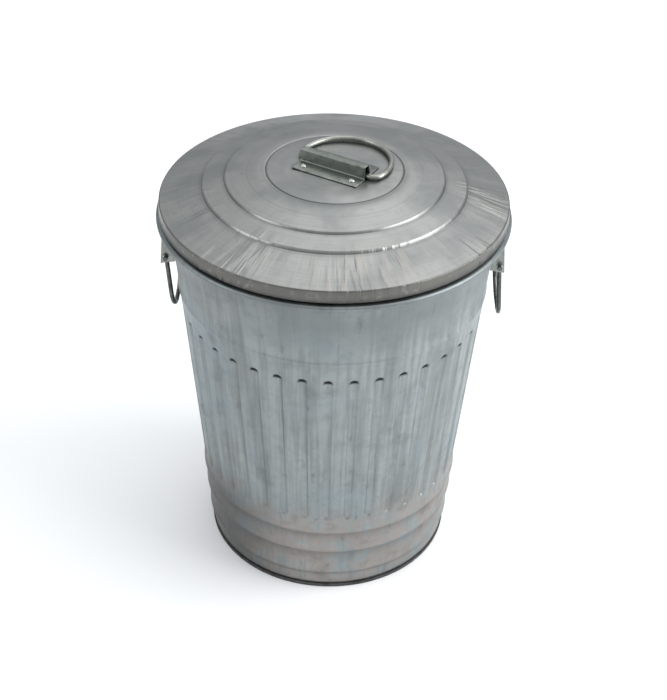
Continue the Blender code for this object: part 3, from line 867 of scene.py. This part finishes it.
# outer part, as (radius, height)
LID_CONE = ((0.105, 0.5733), (0.122, 0.5705))
LID_FIRST_STEP = ((0.130, 0.5692), (0.1398, 0.5676), (0.1418, 0.5645), (0.150, 0.5627))
LID_SECOND_STEP = ((0.162, 0.5599), (0.1683, 0.5585), (0.1706, 0.5548), (0.180, 0.5520))
LID_BETWEEN = (0.158, 0.5608)
LID_OUTER = ((0.190, 0.5490), (0.200, 0.5460), (0.210, 0.5431))
LID_SHOULDER = ((0.216, 0.5413), (0.2252, 0.5386))
# waves: where they start, over what width they grow, and where they end
WAVE_START_R = 0.168
WAVE_GROWTH = 0.030
WAVE_END_R = 0.2225
WAVES = ((7.0, 14.0, (0, 0), 1.0), (19.0, 22.0, (3, 1), 0.5))   # round, outwards, shift, amount
WAVE_MEAN = 0.75
WAVE_SHARE = 0.6
FLAT_SPREAD = 16.0
# painted shade in the lid's grooves, as (radius, half width, amount)
LID_GROOVE_SHADE = ((0.0880, 0.0009, 1.0), (0.1412, 0.0013, 0.75), (0.1700, 0.0013, 0.75))
LID_SHADE_SHARE = 0.75


def lid_profile():
    """Outer side of the lid, from its middle over two rolled steps to the foot of the skirt."""
    top = LID_HIGH.z
    foot_r = LID_HIGH.y
    foot_z = LID_LOW.z
    points = [(radius, top - depth) for radius, depth in LID_MIDDLE]
    points += LID_CONE
    points += fillet(LID_FIRST_STEP, LID_STEP_ROUND, 5)
    points += [LID_BETWEEN]
    points += fillet(LID_SECOND_STEP, LID_STEP_ROUND, 5)
    points += LID_OUTER
    points += fillet([*LID_SHOULDER, (foot_r, foot_z + 0.0004)], LID_EDGE_ROUND, 6)
    points += [(foot_r - 0.0003, foot_z)]
    return points


def wave_lid(bm, size):
    """Soft waves in the outer part, and painted shade in the grooves."""
    grime_and_shade = bm.verts.layers.float.new("grime_and_shade")
    for vert in bm.verts:
        radius = math.hypot(vert.co.x, vert.co.y)
        if radius < 0.001:
            continue
        away = Vector((vert.co.x, vert.co.y, 0)) / radius
        outer = max(0.0, min(1.0, (radius - WAVE_START_R) / WAVE_GROWTH))
        outer *= 1.0 if radius < WAVE_END_R else 0.0
        wave = sum(amount * noise.noise(away * spread + Vector((*shift, radius * outwards)))
                   for spread, outwards, shift, amount in WAVES)
        flat = 0.5 + 0.5 * noise.noise(vert.co * FLAT_SPREAD)
        vert.co.z -= size.wave * WAVE_SHARE * (outer * (WAVE_MEAN + wave) + flat)
        # painted shade in the lid's grooves
        shade_and_dirt = sum(amount * math.exp(-((radius - middle) / width) ** 2)
                   for middle, width, amount in LID_GROOVE_SHADE)
        vert[grime_and_shade] = min(1.0, LID_SHADE_SHARE * shade_and_dirt)


def lid_matrix(size, x=0.0, y=0.0, z=0.0):
    return Matrix.Rotation(size.turn, 4, "Z") @ Matrix.Translation((x, y, z))


class WASTECAN_OT_lid(bpy.types.Operator):
    """Spin the stepped lid with its skirt"""
    bl_idname = "waste_can.lid"
    bl_label = "Lid"

    def execute(self, context):
        size = context.scene.can_lid
        bm = turned(lid_profile(), LID_COLUMNS)
        face_out(bm, up=True)
        wave_lid(bm, size)
        lid = put(bm, "stepped_lid", "hot_dip_zinc_lid", "lid", ["lid_shell"], 60)
        thicken(lid, context.scene.can_sizes.sheet)
        return {"FINISHED"}


CLIP_FRONT_Y = -0.0077
CLIP_ROOF_BACK_Y = 0.0023
CLIP_BACK_Y = 0.0077
CLIP_FLANGE = 0.022
CLIP_RIVET_X = 0.0353
CLIP_RIVET_Y = 0.019
CLIP_BEND = 0.0016
CLIP_COLUMNS = 24
BENT_CORNER = (0.014, 0.012, 0.010, 0.0014)     # along, start, depth and lift of the bent corner


def clip_outline(size):
    """Upper side of the bent strip, from the front flange over the tunnel to the rear one."""
    sheet = size.clip_sheet
    slope = (CLIP_BACK_Y - CLIP_ROOF_BACK_Y) / size.clip_height
    points = [(CLIP_FRONT_Y - CLIP_FLANGE, sheet), (CLIP_FRONT_Y, sheet),
              (CLIP_FRONT_Y, size.clip_height), (CLIP_ROOF_BACK_Y, size.clip_height),
              (CLIP_BACK_Y - slope * sheet, sheet), (CLIP_BACK_Y + CLIP_FLANGE, sheet)]
    return fillet(points, CLIP_BEND, 4)


class WASTECAN_OT_clip(bpy.types.Operator):
    """Bend the clip that holds the carrying ring, and rivet it to the lid"""
    bl_idname = "waste_can.clip"
    bl_label = "Lid Clip"

    def execute(self, context):
        size = context.scene.can_lid
        half = size.clip_length / 2
        bm = bmesh.new()
        verts = [bm.verts.new((-half, y, z)) for y, z in clip_outline(size)]
        edges = [bm.edges.new(pair) for pair in zip(verts, verts[1:])]
        for _ in range(CLIP_COLUMNS):
            made = bmesh.ops.extrude_edge_only(bm, edges=edges)["geom"]
            edges = [item for item in made if isinstance(item, bmesh.types.BMEdge)]
            moved = [item for item in made if isinstance(item, bmesh.types.BMVert)]
            bmesh.ops.translate(bm, verts=moved, vec=(size.clip_length / CLIP_COLUMNS, 0, 0))
        face_out(bm, up=True)
        along, start, depth, lift = BENT_CORNER
        for vert in bm.verts:
            # the flange's outer corner is bent up a little by handling
            corner = max(0.0, 1.0 - (vert.co.x + half) / along)
            corner *= max(0.0, (CLIP_FRONT_Y - start - vert.co.y) / depth)
            vert.co.z += lift * corner
        top = Vector((0, 0, LID_HIGH.z + RIVET_GAP))
        bmesh.ops.transform(bm, matrix=lid_matrix(size, *top), verts=bm.verts)
        clip = put(bm, "ring_clip", "plated_clip_strip", "lid", ["lid_clip"])
        thicken(clip, size.clip_sheet)
        round_edges(clip, 0.0003)
        sheet = context.scene.can_sizes.sheet
        for row, y in (("front", -CLIP_RIVET_Y), ("rear", CLIP_RIVET_Y)):
            for column, x in (("left", -CLIP_RIVET_X), ("right", CLIP_RIVET_X)):
                put_rivet("clip_rivet_%s_%s" % (row, column), "rivet_clip_%s_%s" % (row, column),
                          lid_matrix(size, x, y, LID_HIGH.z), 2 * RIVET_GAP + size.clip_sheet,
                          -sheet - RIVET_GAP, "lid")
        return {"FINISHED"}


RING_BOW_Y = 0.019
RING_CORNER = 0.012
RING_AXIS_Y = -0.0015
RING_LIFT = 0.0004


def ring_points(size):
    """Centre line of the carrying ring: a round bow with one straight side in the clip."""
    bow = RING_BOW_Y - RING_AXIS_Y
    across = math.sqrt((size.ring_bow - RING_CORNER) ** 2 - (RING_CORNER - bow) ** 2)
    tilt = math.degrees(math.atan2(RING_CORNER - bow, across))
    flat = arc((across, RING_CORNER), RING_CORNER, -90.0, tilt, 14)
    flat += arc((0.0, bow), size.ring_bow, tilt, 180.0 - tilt, 72)[1:-1]
    flat += arc((-across, RING_CORNER), RING_CORNER, 180.0 - tilt, 270.0, 14)
    flat += spaced_line(flat[-1], flat[0], 8)[1:-1]
    place = lid_matrix(size, size.ring_shift, RING_AXIS_Y,
                       LID_HIGH.z + size.ring_tube + RING_LIFT)
    return [place @ Vector((x, y, 0.0)) for x, y in flat]


class WASTECAN_OT_ring(bpy.types.Operator):
    """Bend the carrying ring of the lid"""
    bl_idname = "waste_can.ring"
    bl_label = "Carrying Ring"

    def execute(self, context):
        size = context.scene.can_lid
        bend_wire("carrying_ring", ring_points(size), size.ring_tube, "bright_wire", "ring",
                  ["lid_ring"], cyclic=True)
        return {"FINISHED"}


# --- stage --------------------------------------------------------------------------------
LIGHTS = (
    # name, place, aim, width, depth, watts
    ("top_soft_box", (0.9, 1.0, 3.0), (0.0, 0.0, 0.4), 3.6, 3.0, 29.0),
    ("right_soft_box", (2.1, -0.5, 1.4), (0.0, -0.3, 0.0), 1.9, 1.4, 46.0),
    ("left_fill", (-2.4, -0.9, 1.6), (-0.5, -0.3, 0.0), 1.4, 1.2, 13.0),
)
SKY_HIGH = "#F2F4F6"
SKY_LOW = "#B9BCC0"


def look_along(direction, roll=0.0):
    """Rotation that turns a camera or a light along a direction."""
    turn = Vector(direction).to_track_quat("-Z", "Y").to_matrix().to_4x4()
    return turn @ Matrix.Rotation(roll, 4, "Z")


class WASTECAN_OT_stage(bpy.types.Operator):
    """Set the floor, the soft light and the camera"""
    bl_idname = "waste_can.stage"
    bl_label = "Stage"

    def execute(self, context):
        scene = context.scene
        stage = scene.can_stage
        bm = bmesh.new()
        bmesh.ops.create_grid(bm, x_segments=2, y_segments=2, size=stage.floor_half)
        mesh = bpy.data.meshes.new("studio_floor")
        bm.to_mesh(mesh)
        bm.free()
        # matt pale paper: an even floor with no gloss, which the metal mirrors as a bright haze
        paper = bpy.data.materials.new("floor_paper")
        paper.use_nodes = True
        shader = paper.node_tree.nodes["Principled BSDF"]
        shader.inputs["Base Color"].default_value = scene.can_colours.floor
        shader.inputs["Roughness"].default_value = 0.9
        mesh.materials.append(paper)
        floor = bpy.data.objects.new("studio_floor", mesh)
        scene.collection.objects.link(floor)

        for name, place, aim, width, depth, watts in LIGHTS:
            lamp = bpy.data.lights.new(name, "AREA")
            lamp.shape = "RECTANGLE"
            lamp.size = width
            lamp.size_y = depth
            lamp.energy = watts
            light = bpy.data.objects.new(name, lamp)
            light.matrix_world = (Matrix.Translation(place)
                                  @ look_along(Vector(aim) - Vector(place)))
            scene.collection.objects.link(light)

        world = bpy.data.worlds.new("studio_air")
        world.use_nodes = True
        tree = world.node_tree
        way = add_node(tree, "ShaderNodeTexCoord").outputs["Generated"]
        split = add_node(tree, "ShaderNodeSeparateXYZ", links={0: way})
        sky = stain(tree, linear(SKY_LOW), linear(SKY_HIGH), split.outputs["Z"], 0.05, 0.75)
        tree.links.new(sky, tree.nodes["Background"].inputs["Color"])
        tree.nodes["Background"].inputs["Strength"].default_value = 1.0
        scene.world = world
        scene.view_settings.view_transform = "Standard"

        lens = bpy.data.cameras.new("camera")
        lens.sensor_width = 36.0
        lens.lens = stage.focal
        camera = bpy.data.objects.new("camera", lens)
        aim = Vector(stage.camera_aim) - Vector(stage.camera_place)
        camera.matrix_world = (Matrix.Translation(stage.camera_place)
                               @ look_along(aim, stage.camera_roll))
        scene.collection.objects.link(camera)
        scene.camera = camera
        return {"FINISHED"}


class WASTECAN_PT_panel(bpy.types.Panel):
    """Lists the pieces of the waste can in the order in which they are made"""
    bl_idname = "WASTECAN_PT_panel"
    bl_label = "Waste Can"
    bl_space_type = "VIEW_3D"
    bl_region_type = "UI"
    bl_category = "Waste Can"

    def draw(self, context):
        for operator in OPERATORS:
            self.layout.operator(operator.bl_idname)


GROUPS = {"can_sizes": CanSizes, "can_lid": LidSizes, "can_handles": HandleSizes,
          "can_colours": FinishColours, "can_stage": StageSettings}
OPERATORS = (WASTECAN_OT_wall, WASTECAN_OT_seam, WASTECAN_OT_foot, WASTECAN_OT_ears,
             WASTECAN_OT_bails, WASTECAN_OT_lid, WASTECAN_OT_clip, WASTECAN_OT_ring,
             WASTECAN_OT_stage)


def register():
    for group in GROUPS.values():
        bpy.utils.register_class(group)
    for operator in OPERATORS:
        bpy.utils.register_class(operator)
    bpy.utils.register_class(WASTECAN_PT_panel)
    for name, group in GROUPS.items():
        setattr(bpy.types.Scene, name, bpy.props.PointerProperty(type=group))


def unregister():
    for name in GROUPS:
        delattr(bpy.types.Scene, name)
    for item in (WASTECAN_PT_panel, *reversed(OPERATORS), *reversed(GROUPS.values())):
        bpy.utils.unregister_class(item)


def main():
    register()
    for operator in OPERATORS:
        group, call = operator.bl_idname.split(".")
        getattr(getattr(bpy.ops, group), call)()
    bpy.context.view_layer.update()


if __name__ == "__main__":
    main()
